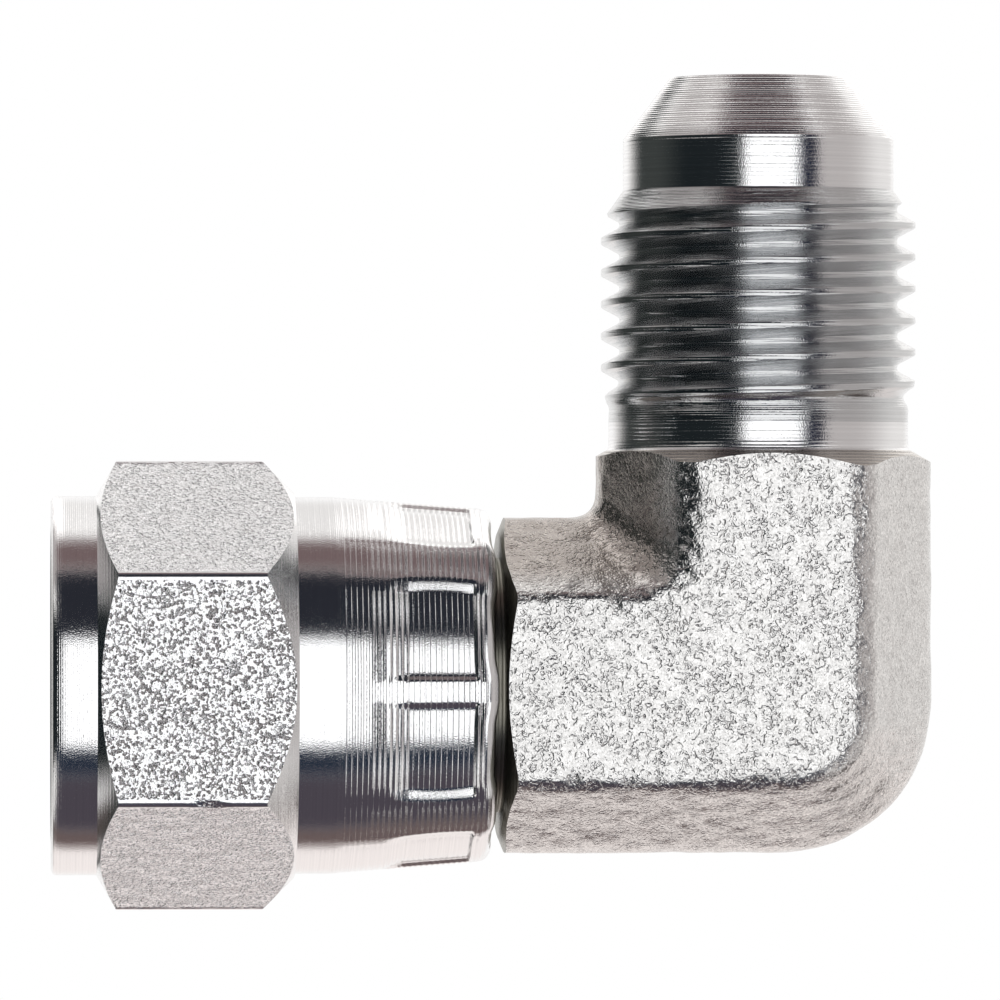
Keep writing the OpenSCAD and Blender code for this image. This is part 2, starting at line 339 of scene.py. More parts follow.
class Finishes:
    """The plated finishes and the node groups that they share."""

    def __init__(self) -> None:
        """Build the groups."""
        self.blasting = self.blasting_group()
        self.turning = self.turning_group()
        self.painted_recess_shade = self.painted_shade_group()

    @staticmethod
    def blasting_group() -> bpy.types.NodeTree:
        """Return the group that gives shot-blasted steel its grain, its cracks and its dents."""
        group, tree, source, result = new_group(
            "shot_blasting",
            {
                "Grain": "NodeSocketFloat",
                "Pit": "NodeSocketFloat",
                "Crack": "NodeSocketFloat",
                "Dent": "NodeSocketFloat",
                "Smooth Radius": "NodeSocketFloat",
            },
            {"Height": "NodeSocketFloat", "Tone": "NodeSocketFloat"},
        )
        where = tree.add("ShaderNodeTexCoord").outputs["Object"]
        density = tree.math("DIVIDE", 1.0, source.outputs["Grain"])

        def noise_at(share: float, detail: float) -> bpy.types.NodeSocket:
            node = tree.add("ShaderNodeTexNoise", noise_dimensions="3D")
            node.inputs["Detail"].default_value = detail
            node.inputs["Roughness"].default_value = 0.6
            tree.join(where, node.inputs["Vector"])
            tree.join(tree.math("MULTIPLY", density, share), node.inputs["Scale"])
            return node.outputs["Fac"]

        def share(
            value: bpy.types.NodeSocket, low: float, high: float, kind: str = "LINEAR"
        ) -> bpy.types.NodeSocket:
            node = tree.add("ShaderNodeMapRange", interpolation_type=kind)
            node.inputs["From Min"].default_value = low
            node.inputs["From Max"].default_value = high
            tree.join(value, node.inputs["Value"])
            return node.outputs["Result"]

        grain = noise_at(1.0, 1.1)
        ridge = tree.math("ABSOLUTE", tree.math("SUBTRACT", noise_at(0.4, 1.5), 0.5))
        cracks = tree.math(
            "MULTIPLY", share(ridge, 0.05, 0.0), share(noise_at(0.55, 0.0), 0.45, 0.6, "SMOOTHSTEP")
        )
        patchy = tree.math("ADD", share(noise_at(0.22, 1.0), 0.35, 0.65), 0.5)
        parts = (
            (tree.math("MULTIPLY", share(grain, 0.5, 0.8), patchy), "Pit"),
            (cracks, "Crack"),
            (noise_at(0.15, 1.0), "Dent"),
        )
        fine = noise_at(1.7, 1.0)
        height = tree.math("MULTIPLY", fine, -0.4)
        for part, strength in parts:
            height = tree.math("ADD", height, tree.math("MULTIPLY", part, source.outputs[strength]))
        beside = tree.add("ShaderNodeVectorMath", operation="MULTIPLY")
        beside.inputs[1].default_value = (0.0, 1.0, 1.0)
        tree.join(where, beside.inputs[0])
        radial = tree.add("ShaderNodeVectorMath", operation="LENGTH")
        tree.join(beside.outputs[0], radial.inputs[0])
        past = tree.math("SUBTRACT", radial.outputs["Value"], source.outputs["Smooth Radius"])
        rough = share(past, 0.00012, 0.0, "SMOOTHSTEP")
        tree.join(tree.math("MULTIPLY", tree.math("MULTIPLY", height, rough), -1.0), result.inputs["Height"])
        speckle = tree.math("MULTIPLY", tree.math("ADD", grain, fine), 0.5)
        tree.join(speckle, result.inputs["Tone"])
        return group

    @staticmethod
    def turning_group() -> bpy.types.NodeTree:
        """Return the group that lays tool marks round an axis through the origin."""
        group, tree, source, result = new_group(
            "turning_marks",
            {
                "Axis": "NodeSocketVector",
                "Pitch": "NodeSocketFloat",
                "Streak": "NodeSocketFloat",
                "Grit": "NodeSocketFloat",
            },
            {"Height": "NodeSocketFloat", "Tone": "NodeSocketFloat"},
        )
        where = tree.add("ShaderNodeTexCoord").outputs["Object"]
        along = tree.add("ShaderNodeVectorMath", operation="DOT_PRODUCT")
        tree.join(where, along.inputs[0])
        tree.join(source.outputs["Axis"], along.inputs[1])
        on_axis = tree.add("ShaderNodeVectorMath", operation="SCALE")
        tree.join(source.outputs["Axis"], on_axis.inputs[0])
        tree.join(along.outputs["Value"], on_axis.inputs["Scale"])
        radial = tree.add("ShaderNodeVectorMath", operation="DISTANCE")
        tree.join(where, radial.inputs[0])
        tree.join(on_axis.outputs[0], radial.inputs[1])
        path = tree.math("SUBTRACT", along.outputs["Value"], radial.outputs["Value"])
        feed = tree.math("DIVIDE", path, source.outputs["Pitch"])
        wave = tree.math("POWER", tree.math("MULTIPLY", tree.math("PINGPONG", feed, 0.5), 2.0), 2.0)
        uneven = tree.add("ShaderNodeTexNoise", noise_dimensions="1D")
        uneven.inputs["Scale"].default_value = 0.9
        uneven.inputs["Detail"].default_value = 3.0
        tree.join(feed, uneven.inputs["W"])
        stretch = tree.add("ShaderNodeVectorMath", operation="SCALE")
        tree.join(source.outputs["Axis"], stretch.inputs[0])
        tree.join(tree.math("MULTIPLY", path, 15.0), stretch.inputs["Scale"])
        spread = tree.add("ShaderNodeVectorMath", operation="ADD")
        tree.join(where, spread.inputs[0])
        tree.join(stretch.outputs[0], spread.inputs[1])
        streaks = tree.add("ShaderNodeTexNoise", noise_dimensions="3D")
        streaks.inputs["Detail"].default_value = 2.0
        tree.join(spread.outputs[0], streaks.inputs["Vector"])
        tree.join(tree.math("DIVIDE", 0.06, source.outputs["Pitch"]), streaks.inputs["Scale"])
        height = tree.math("ADD", wave, tree.math("MULTIPLY", uneven.outputs["Fac"], 1.6))
        dashes = tree.math("MULTIPLY", streaks.outputs["Fac"], source.outputs["Streak"])
        grit = tree.add("ShaderNodeTexNoise", noise_dimensions="3D")
        grit.inputs["Scale"].default_value = 22000.0
        grit.inputs["Detail"].default_value = 0.0
        tree.join(where, grit.inputs["Vector"])
        grain = tree.math("MULTIPLY", grit.outputs["Fac"], source.outputs["Grit"])
        height = tree.math("ADD", tree.math("ADD", height, dashes), grain)
        tree.join(height, result.inputs["Height"])
        tree.join(uneven.outputs["Fac"], result.inputs["Tone"])
        return group

    @staticmethod
    def painted_shade_group() -> bpy.types.NodeTree:
        """Return the group that finds the slopes inside the bend, where painted shade darkens the colour."""
        group, tree, source, result = new_group(
            "painted_shade_inside_of_bend",
            {"Start": "NodeSocketFloat", "End": "NodeSocketFloat"},
            {"Mask": "NodeSocketFloat"},
        )
        where = tree.add("ShaderNodeSeparateXYZ")
        tree.join(tree.add("ShaderNodeTexCoord").outputs["Object"], where.inputs[0])
        left = tree.math("MULTIPLY", where.outputs["X"], -1.0)
        depth = tree.math("MINIMUM", left, where.outputs["Z"])
        mask = tree.add("ShaderNodeMapRange", interpolation_type="SMOOTHSTEP")
        tree.join(depth, mask.inputs["Value"])
        tree.join(source.outputs["Start"], mask.inputs["From Min"])
        tree.join(source.outputs["End"], mask.inputs["From Max"])
        tree.join(mask.outputs["Result"], result.inputs["Mask"])
        return group

    def blasted(self, finish: Grain) -> bpy.types.Material:
        """Return the material of a shot-blasted and plated surface."""
        material, tree, shader = self.plated(finish.name, finish.color, finish.roughness)
        group = tree.add("ShaderNodeGroup", node_tree=self.blasting)
        group.inputs["Grain"].default_value = finish.grain
        group.inputs["Pit"].default_value = finish.pit
        group.inputs["Crack"].default_value = finish.crack
        group.inputs["Dent"].default_value = finish.dent
        group.inputs["Smooth Radius"].default_value = finish.smooth_r
        self.raise_surface(tree, group, shader, finish.depth)
        color = self.tint(tree, group, finish.color, finish.tone)
        # Painted shade: the slopes inside the bend are blended towards a darker colour.
        if finish.painted_recess_shade:
            inside = tree.add("ShaderNodeGroup", node_tree=self.painted_recess_shade)
            inside.inputs["Start"].default_value = 0.0037
            inside.inputs["End"].default_value = 0.0048
            blend = tree.add("ShaderNodeMix", data_type="RGBA")
            tree.join(inside.outputs["Mask"], blend.inputs["Factor"])
            tree.join(color, blend.inputs["A"])
            blend.inputs["B"].default_value = (*finish.painted_recess_shade, 1.0)
            color = blend.outputs["Result"]
        tree.join(color, shader.inputs["Base Color"])
        return material

    def turned(self, finish: Marks) -> bpy.types.Material:
        """Return the material of a turned and plated surface."""
        material, tree, shader = self.plated(finish.name, finish.color, finish.roughness)
        group = tree.add("ShaderNodeGroup", node_tree=self.turning)
        group.inputs["Axis"].default_value = finish.axis
        group.inputs["Pitch"].default_value = finish.pitch
        group.inputs["Streak"].default_value = finish.streak
        group.inputs["Grit"].default_value = finish.grit
        self.raise_surface(tree, group, shader, finish.depth)
        tree.join(self.tint(tree, group, finish.color, finish.tone), shader.inputs["Base Color"])
        return material

    @staticmethod
    def plated(
        name: str, color: tuple[float, float, float], roughness: float
    ) -> tuple[bpy.types.Material, Tree, bpy.types.Node]:
        """Make a plain zinc-plated material and return it with its calls and its shader."""
        material = bpy.data.materials.new(name)
        material.use_nodes = True
        shader = material.node_tree.nodes["Principled BSDF"]
        shader.inputs["Base Color"].default_value = (*color, 1.0)
        shader.inputs["Metallic"].default_value = 1.0
        shader.inputs["Roughness"].default_value = roughness
        return material, Tree(material.node_tree), shader

    @staticmethod
    def raise_surface(
        tree: Tree, group: bpy.types.Node, shader: bpy.types.Node, depth: float
    ) -> None:
        """Join the height of a group to the shader's normal, with its depth in metres."""
        bump = tree.add("ShaderNodeBump")
        bump.inputs["Strength"].default_value = 1.0
        bump.inputs["Distance"].default_value = depth
        tree.join(group.outputs["Height"], bump.inputs["Height"])
        tree.join(bump.outputs["Normal"], shader.inputs["Normal"])

    @staticmethod
    def tint(
        tree: Tree, group: bpy.types.Node, color: tuple[float, float, float], spread: float
    ) -> bpy.types.NodeSocket:
        """Return the colour of the plating, varied with the tone of a group."""
        ramp = tree.add("ShaderNodeValToRGB")
        dark = tuple(channel * (1 - spread) for channel in color)
        ramp.color_ramp.elements[0].position = 0.3
        ramp.color_ramp.elements[0].color = (*dark, 1.0)
        ramp.color_ramp.elements[1].position = 0.65
        ramp.color_ramp.elements[1].color = (*color, 1.0)
        tree.join(group.outputs["Tone"], ramp.inputs["Fac"])
        return ramp.outputs["Color"]


@dataclass
class Forging:
    """The forged bend: its section, its two ends and the blend inside its corner."""

    flat_y: float = 6.35
    flat_d: float = 3.666
    parting_d: float = 6.72
    slope_angle: float = 60.0
    outer_r: float = 6.0
    inner_r: float = 0.9
    inner_flat_r: float = 2.0
    shoulder: float = 9.33
    shoulder_r: float = 6.2
    shoulder_chamfer: float = 30.0
    tail_face: float = 10.45
    tail_face_r: float = 6.1
    tail_chamfer: float = 22.0
    offset: float = 0.2
    level_drop: float = 0.18
    upright_round: float = 0.7
    level_round: float = 0.34
    parting_round: float = 0.35
    unevenness: float = 0.03
    lump: float = 0.15
    lump_size: float = 0.5

    def __post_init__(self) -> None:
        """Work out the places that follow from the sizes."""
        self.pivot = self.parting_d - self.outer_r
        self.corner = self.parting_d + self.inner_r
        angle = math.radians(self.slope_angle)
        self.slope = (math.sin(angle), math.cos(angle))
        self.parting_y = self.flat_y - (self.parting_d - self.flat_d) * math.tan(angle)

    def outer_distance(self, x: float, z: float) -> float:
        """Return how far out a point lies on the outside of the bend."""
        if x > self.pivot and z < -self.pivot:
            return math.hypot(x - self.pivot, z + self.pivot) + self.pivot
        return max(x, -z)

    @staticmethod
    def inner_distance(left: float, up: float, r: float) -> float:
        """Return how far out a point lies on the inside of the bend, blended by a radius."""
        if abs(left - up) >= r:
            return min(left, up)
        return (left + up + math.sqrt(2 * r * r - (left - up) ** 2)) / 2 - r

    def sides(self, point: Vector) -> list[tuple[float, float]]:
        """Return how far out a point lies, and how far beyond the slope, on the outside and the inside."""
        y = abs(point.y)
        x = point.x - self.offset
        blend = min(max((y - self.parting_y) / (self.flat_y - self.parting_y), 0.0), 1.0)
        inner = self.inner_distance(-x, point.z, lerp(self.inner_r, self.inner_flat_r, blend))
        drop = self.level_drop * ease((3 - x) / 6)
        found = []
        for distance, flat_d in ((self.outer_distance(x, point.z), self.flat_d + drop), (inner, self.flat_d)):
            slope = (distance - flat_d) * self.slope[0] + (y - self.flat_y) * self.slope[1]
            found.append((distance, slope))
        return found

    def outside(self, point: Vector, edge_round: float) -> float:
        """Return how far a point is outside the forging, below 0 inside it.

        Args:
            point: The point to test.
            edge_round: The width of the rounding beside the wrench flats.

        Returns:
            About the distance to the surface.
        """
        flat = abs(point.y) - self.flat_y
        return max(
            soft_max(soft_max(flat, slope, edge_round), distance - self.parting_d, self.parting_round)
            for distance, slope in self.sides(point)
        )

    def edge_nearness(self, point: Vector) -> float:
        """Return how near a point of the skin is to an edge of a wrench flat, from 0 to 1."""
        flat = abs(point.y) - self.flat_y
        return max(ease(1.4 - abs(flat - slope) / 0.5) for _, slope in self.sides(point))

    def reach(self, centre: Vector, ray: Vector, edge_round: float) -> float:
        """Return how far the surface is from a point inside the forging along a ray."""
        near, far = 0.0, 16.0
        for _ in range(26):
            middle = (near + far) / 2
            if self.outside(centre + ray * middle, edge_round) < 0:
                near = middle
            else:
                far = middle
        skin = centre + ray * near
        swell = noise.noise(skin * 0.45) + 0.4 * noise.noise(skin * 1.7 + Vector((7, 3, 1)))
        lump = max(noise.noise(skin / self.lump_size + Vector((2, 9, 4))) + 0.1, 0.0)
        bumps = noise.noise(skin * 1.1 + Vector((5, 1, 8))) * ease((self.flat_y - 0.05 - abs(skin.y)) / 0.4)
        hollow = self.unevenness * max(0.8 - 0.5 * swell - 1.4 * bumps, 0.0)
        return near - hollow - self.lump * lump * self.edge_nearness(skin)

    def station(self, centre: Vector, out: Vector, edge_round: float) -> Place:
        """Return a row whose rays leave a centre in the plane of one direction and Y."""
        side = Vector((0, 1, 0))

        def place(theta: float) -> Vector:
            ray = out * math.cos(theta) + side * math.sin(theta)
            return centre + ray * self.reach(centre, ray, edge_round)

        return place

    def end_rows(
        self, turning: Turning, face: float, face_r: float, chamfer: float, edge_round: float, count: int
    ) -> list[Place]:
        """Return the rows of one straight end, from its turned face to where the bend starts.

        Args:
            turning: The centre line of the end.
            face: Where the turned face lies along that line.
            face_r: The radius where the chamfer starts.
            chamfer: The slope of the chamfer from the face, in degrees.
            edge_round: The width of the rounding beside the wrench flats.
            count: How many rows lie below the chamfer.

        Returns:
            The face's ring, the chamfer's rows and those of the straight stretch.
        """
        fall = math.tan(math.radians(chamfer))
        known: dict[float, float] = {}

        def edge(theta: float) -> float:
            if theta not in known:
                along = face - 0.6
                centre = turning.axis * along
                ray = turning.point(0.0, 1.0, theta)
                known[theta] = self.reach(centre, ray, edge_round)
            return known[theta]

        def chamfer_row(share: float) -> Place:
            def place(theta: float) -> Vector:
                r = lerp(face_r, edge(theta), share)
                return turning.point(face - (r - face_r) * fall, r, theta)

            return place

        def straight_row(share: float) -> Place:
            def place(theta: float) -> Vector:
                top = face - (edge(theta) - face_r) * fall
                along = lerp(top, self.corner, share)
                centre = turning.axis * along
                ray = turning.point(0.0, 1.0, theta)
                r = self.reach(centre, ray, edge_round)
                return turning.point(along, lerp(edge(theta), r, ease(share * 3)), theta)

            return place

        rows = [turning.ring(face, face_r), chamfer_row(0.5), chamfer_row(1.0)]
        return rows + [straight_row(share) for share in steps(0.0, 1.0, count)]

    def bend_rows(self, count: int) -> list[Place]:
        """Return the rows of the bend, on planes that fan out from its inside corner."""
        rows = []
        for share in steps(0.0, 1.0, count)[:-1]:
            angle = share * math.pi / 2
            out = Vector((math.cos(angle), 0, -math.sin(angle)))
            centre = Vector((-self.corner, 0, self.corner)) + out * self.corner
            rows.append(self.station(centre, out, lerp(self.upright_round, self.level_round, ease(share))))
        return rows


@dataclass
class ElbowBody:
    """The forged body with both of its turned ends and its drillings, as one closed mesh."""

    columns: int = 264
    flow_r: float = 2.97
    tip_z: float = 24.3
    tip_r: float = 3.56
    tip_break: float = 0.2
    land_r: float = 5.42
    land_length: float = 2.05
    flare_angle: float = 37.0
    lead_in_angle: float = 35.0
    thread_r: float = 6.3
    thread_pitch: float = 1.27
    thread_shift: float = 0.64
    thread_depth: float = 0.74
    neck_r: float = 6.0
    neck_top: float = 10.5
    fade_end: float = 12.2
    neck_fillet: float = 0.25
    tail_neck_r: float = 5.1
    head_r: float = 6.32
    lip_front: float = 12.67
    shoulder_front: float = 14.783
    head_front: float = 17.233
    head_break: float = 0.24
    seat_r: float = 5.6
    drill_overrun: float = 1.0
    drill_slope: float = 0.6
    drill_blend: float = 0.35
    forging: Forging = field(default_factory=Forging)

    def __post_init__(self) -> None:
        """Set the two centre lines and the places that follow from the sizes."""
        self.upright = Turning(Vector((0, 0, 1)), Vector((1, 0, 0)))
        self.level = Turning(Vector((-1, 0, 0)), Vector((0, 0, -1)))
        flare = math.tan(math.radians(self.flare_angle))
        self.cone_z = self.tip_z - (self.land_r - self.tip_r) / flare
        self.lead_in_z = self.cone_z - self.land_length
        self.seat_back = self.head_front - (self.seat_r - self.flow_r) / flare
        self.form = ThreadForm(
            pitch=self.thread_pitch,
            crest_r=self.thread_r,
            root_r=self.thread_r - self.thread_depth,
            crest_half=0.075,
            root_start=0.41,
            shift=self.thread_shift,
            flank_lines=(0, 0.08, 0.17, 0.42, 0.68, 0.84, 1),
        )

    def thread_radius(self, z: float, theta: float) -> float:
        """Return the radius of the threaded stretch, faded into the neck and the lead-in."""
        cut = ease((z - self.neck_top - 0.2) / (self.fade_end - self.neck_top))
        crest = lerp(self.neck_r, self.thread_r, cut)
        root = lerp(self.neck_r, self.form.root_r, cut)
        lead_in = self.land_r + (self.lead_in_z - z) * math.tan(math.radians(self.lead_in_angle))
        return min(lerp(crest, root, self.form.depth(z, theta)), lead_in)

    def nose_rows(self) -> list[Place]:
        """Return the rows from the mouth of the drilling over the flare nose to the thread."""
        z, r = self.tip_z, self.tip_r
        profile = [(z - self.tip_break, self.flow_r), (z, self.flow_r + self.tip_break)]
        profile += [(z, r - 0.06), (z - 0.02, r), (z - 0.09, r + 0.055)]
        profile += [(lerp(z - 0.09, self.cone_z, s), lerp(r + 0.055, self.land_r, s)) for s in steps(0, 0.985, 6)]
        profile += [(self.cone_z - 0.035, self.land_r)]
        profile += [(along, self.land_r) for along in steps(self.cone_z - 0.035, self.lead_in_z, 5)]
        return self.upright.rings(profile)

    def neck_rows(self) -> list[Place]:
        """Return the rows from the end of the thread down to the turned shoulder."""
        foot = self.forging.shoulder
        fillet = self.neck_fillet
        profile = [(self.neck_top, self.neck_r), (foot + fillet + 0.4, self.neck_r)]
        for angle in steps(0, 90, 5):
            turn = math.radians(angle)
            profile.append((
                foot + fillet * (1 - math.sin(turn)),
                self.neck_r + fillet * (1 - math.cos(turn)),
            ))
        return self.upright.rings(profile[:-1])

    def tail_rows(self) -> list[Place]:
        """Return the rows from the tail face over the neck and head into the seat."""
        face = self.forging.tail_face
        profile = [(face, self.tail_neck_r), (self.lip_front, self.tail_neck_r)]
        profile += [(self.shoulder_front, self.head_r), (self.head_front - self.head_break, self.head_r)]
        profile += [(self.head_front, self.head_r - self.head_break), (self.head_front, self.seat_r)]
        profile += [(self.seat_back, self.flow_r)]
        return self.level.rings(profile)

    def in_drilling(self, across: float, along: float) -> float:
        """Return how far a point is outside one drilling, below 0 inside it."""
        return max(across - self.flow_r, -along - self.drill_overrun - (self.flow_r - across) * self.drill_slope)

    def drilling_rows(self, count: int) -> list[Place]:
        """Return the rows of the flow way, from the seat through the crossing to the tip."""
        side = Vector((0, 1, 0))
        r = self.flow_r

        def station(centre: Vector, out: Vector) -> Place:
            def place(theta: float) -> Vector:
                ray = out * math.cos(theta) + side * math.sin(theta)
                near, far = 0.0, 3 * r
                for _ in range(24):
                    middle = (near + far) / 2
                    p = centre + ray * middle
                    upright = self.in_drilling(math.hypot(p.x, p.y), p.z)
                    level = self.in_drilling(math.hypot(p.z, p.y), -p.x)
                    if -soft_max(-upright, -level, self.drill_blend) < 0:
                        near = middle
                    else:
                        far = middle
                return centre + ray * near

            return place

        rows = [self.level.ring(along, r) for along in steps(self.seat_back, r, 6)]
        for share in reversed(steps(0.0, 1.0, count)[:-1]):
            angle = share * math.pi / 2
            out = Vector((math.cos(angle), 0, -math.sin(angle)))
            rows.append(station(Vector((-r, 0, r)) + out * r, out))
        rows += [self.upright.ring(r, r)]
        return rows + [self.upright.ring(along, r) for along in steps(r, self.tip_z - self.tip_break, 8)]

    def build(self) -> bpy.types.Object:
        """Return the finished body."""
        forging = self.forging
        skin = Skin([TURN * i / self.columns for i in range(self.columns)])
        nose = self.nose_rows()
        thread = self.upright.thread(self.form, self.neck_top, self.lead_in_z, self.thread_radius)
        skin.sheet(nose, [Surface.TURNED] * (len(nose) - 1))
        skin.sheet(thread, [Surface.FLANK] * (len(thread) - 1))
        top = forging.end_rows(
            self.upright, forging.shoulder, forging.shoulder_r, forging.shoulder_chamfer, forging.upright_round, 9
        )
        tail = forging.end_rows(
            self.level, forging.tail_face, forging.tail_face_r, forging.tail_chamfer, forging.level_round, 16
        )
        neck = self.neck_rows()
        bend = forging.bend_rows(112)
        outside = neck + top + bend + list(reversed(tail))
        turned = [Surface.TURNED] * (len(neck) - 2) + [Surface.SHOULDER] * 4
        blasted = [Surface.BLASTED] * (len(outside) - 1 - len(turned) - 2)
        skin.sheet(outside, turned + blasted + [Surface.HIDDEN] * 2)
        inside = [self.level.ring(forging.tail_face, forging.tail_face_r)] + self.tail_rows()
        inside += self.drilling_rows(36)
        skin.sheet(inside, [Surface.HIDDEN] * 2 + [Surface.TURNED] * (len(inside) - 3))
        return skin.close("elbow_forging", 28.0)


@dataclass
class SwivelNut:
    """The turned nut with its hexagon, its thread and its crimped skirt, as one closed mesh."""

    columns: int = 216
    flats: float = 15.6
    corner_break: float = 0.0505
    corner_round: float = 0.3
    front: float = 28.3
    ring_r: float = 7.56
    ring_back: float = 26.5
    hexagon_back: float = 18.63
    front_chamfer: float = 30.0
    back_chamfer: float = 45.0
    back_chamfer_r: float = 7.7
    collar_r: float = 7.52
    collar_back: float = 17.13
    skirt_r: float = 7.05
    rim: float = 10.75
    rim_round: float = 0.6
    rim_wave: float = 0.12
    rim_bare: float = 0.16
    lip_r: float = 5.4
    lip_front: float = 12.67
    relief_r: float = 6.4
    relief_back: float = 14.402
    relief_front: float = 17.533
    minor_r: float = 5.6626
    major_r: float = 6.36
    thread_pitch: float = 1.27
    mouth_chamfer: float = 0.8
    edge_break: float = 0.2
    groove_pitch: float = 0.22
    groove_depth: float = 0.032
    groove_front: float = 17.1
    jaw_pairs: int = 4
    jaw_angle: float = 34.9
    jaw_pair_angle: float = 41.4
    jaw_turn: float = -0.9
    jaw_depth: float = 0.2
    jaw_inner_wall: float = 2.2
    jaw_outer_wall: float = 5.2
    jaw_bow: float = 0.7
    jaw_back: float = 11.6
    jaw_back_wall: float = 0.12
    jaw_front: float = 14.25
    jaw_ramp: float = 0.9
    nick_angle: float = 240.0
    nick_at: float = 22.2
    nick_length: float = 1.3
    nick_depth: float = 0.075

    def __post_init__(self) -> None:
        """Set the centre line, the thread and the middles of the jaw marks."""
        self.line = Turning(Vector((-1, 0, 0)), Vector((0, 0, 1)))
        self.form = ThreadForm(
            pitch=self.thread_pitch,
            crest_r=self.minor_r,
            root_r=self.major_r,
            crest_half=0.125,
            root_start=0.43,
            shift=0.0,
            flank_lines=(0, 0.16, 0.8, 1),
        )
        self.gap_half = (self.jaw_pair_angle - self.jaw_angle) / 2

    def column_angles(self) -> list[float]:
        """Return the columns' angles, with lines at the walls of the jaw marks and at the corners."""
        far = self.gap_half + self.jaw_angle
        walls = [self.gap_half + self.jaw_inner_wall * share for share in (0, 0.3, 0.7, 1)]
        walls += [far - self.jaw_outer_wall * share for share in (-0.15, 0, 0.12, 0.3, 0.7, 0.88, 1, 1.15)]
        lines = [
            (360 / self.jaw_pairs * pair - 90 + self.jaw_turn + side * wall) % 360
            for pair in range(self.jaw_pairs)
            for side in (-1, 1)
            for wall in walls
        ]
        lines += [(60 * corner + turn) % 360 for corner in range(6) for turn in (-1.4, -1, -0.5, 0, 0.5, 1, 1.4)]
        even = [360 * i / self.columns for i in range(self.columns)]
        gap = 0.3 * 360 / self.columns
        kept = [a for a in even if a == 0 or min(abs(a - line) for line in lines) > gap]
        return [math.radians(a) for a in sorted(kept + lines)]

    def hexagon_r(self, theta: float) -> float:
        """Return the radius of the hexagon, with its rounded corners."""
        turn = abs(theta % (math.pi / 3) - math.pi / 6)
        apothem = self.flats / 2
        centre = (apothem - self.corner_round) / math.cos(math.pi / 6)
        side = centre * math.sin(math.pi / 6 - turn)
        sharp = apothem / math.cos(turn)
        if side >= self.corner_round:
            return sharp
        rounded = centre * math.cos(math.pi / 6 - turn) + math.sqrt(self.corner_round**2 - side**2)
        return min(sharp, rounded, apothem / math.cos(math.pi / 6) - self.corner_break)

    def nicked_r(self, theta: float, along: float) -> float:
        """Return the radius of the hexagon, with the small flat that a knock left on one corner."""
        r = self.hexagon_r(theta)
        if abs(math.degrees(theta) - self.nick_angle) > 5:
            return r
        middle = self.nick_at + 0.2 * math.sin(math.degrees(theta) - self.nick_angle)
        share = ease(2.5 - 5 * abs(along - middle) / self.nick_length)
        apex = self.flats / 2 / math.cos(math.pi / 6) - self.corner_break
        return min(r, apex - self.nick_depth * share)

    def into_mark(self, theta: float) -> float:
        """Return how many degrees a point lies past the inner wall of the nearest jaw mark."""
        step = 360 / self.jaw_pairs
        from_pair = (math.degrees(theta) + 90 - self.jaw_turn + step / 2) % step - step / 2
        return abs(from_pair) - self.gap_half

    def press(self, theta: float, along: float) -> float:
        """Return how deep the jaws pressed the skirt at a point."""
        inside = self.into_mark(theta)
        middle = (self.jaw_back + self.jaw_front) / 2
        bow = self.jaw_bow * (1 - ((along - middle) / (self.jaw_front - middle)) ** 2)
        inner_wall = ease(inside / self.jaw_inner_wall)
        outer_wall = ramp((self.jaw_angle + max(bow, -1.0) - 0.5 - inside) / self.jaw_outer_wall)
        back = ease((along - self.jaw_back) / self.jaw_back_wall)
        front = 1 - ease((along - self.jaw_front + 0.1) / (self.jaw_ramp + 0.2))
        return self.jaw_depth * inner_wall * outer_wall * back * front

    def on_wall(self, theta: float) -> float:
        """Return how far a point is on the outer wall of a jaw mark, from 0 to 1."""
        left = self.jaw_angle - self.into_mark(theta)
        return ease(1.6 - abs(left - self.jaw_outer_wall / 2) / self.jaw_outer_wall * 2.4) * 0.75

    def between(self, theta: float, along: float) -> float:
        """Return how much of a groove the jaws smeared flat between the two marks of a pair."""
        return 0.35 * ease(-self.into_mark(theta)) * ease((self.jaw_front + 1.6 - along) / 1.2)

    def groove(self, along: float) -> float:
        """Return how deep the turned grooves are at a distance along the nut."""
        share = (along / self.groove_pitch) % 1.0
        strength = ease((self.groove_front - along) / 0.5) * 0.78
        strength += ease((self.groove_front - 0.6 - along) / 1.3) * 0.2
        strength *= ease((along - self.rim - self.rim_bare) / 0.2)
        uneven = 0.95 + 0.25 * noise.noise(Vector((along * 3.1, 5, 2)))
        return self.groove_depth * strength * uneven * (0.5 + 0.5 * math.cos(TURN * share))

    def waved(self, theta: float, along: float) -> float:
        """Return a distance along the nut with the wave that crimping left in the rim."""
        mark = ease(self.into_mark(theta) / 9) * ease((self.jaw_angle - self.into_mark(theta)) / 9)
        return along + self.rim_wave * mark * ease((self.jaw_back + 0.6 - along) / 1.2)

    def skirt_row(self, along: float) -> Place:
        """Return a row of the grooved and crimped skirt."""
        start = self.rim + self.rim_round
        share = (along - start) / (self.collar_back - start)
        plain = lerp(self.skirt_r + 0.02, self.collar_r, max(share, 0.0))
        bent = max(start - along, 0.0) / self.rim_round
        plain -= self.rim_round * (1 - math.sqrt(1 - bent * bent))
        groove = self.groove(along)

        def place(theta: float) -> Vector:
            pressed = self.press(theta, along)
            kept = groove * (1 - 0.38 * pressed / self.jaw_depth) * (1 - self.on_wall(theta))
            kept *= 1 - self.between(theta, along)
            return self.line.point(self.waved(theta, along), plain - pressed - kept, theta)

        return place

    def rim_row(self, along: float, r: float) -> Place:
        """Return a row of the rim, which crimping left a little wavy."""
        return lambda theta: self.line.point(self.waved(theta, along), r, theta)

    def chamfer_row(self, start: tuple[float, float], fall: float, share: float) -> Place:
        """Return a row between a ring and the edge where its chamfer meets the hexagon.

        Args:
            start: The ring's place along the nut and its radius.
            fall: How far the chamfer runs along the nut for each millimetre of radius.
            share: How far the row is from the ring to the edge.

        Returns:
            The row.
        """
        along, r = start

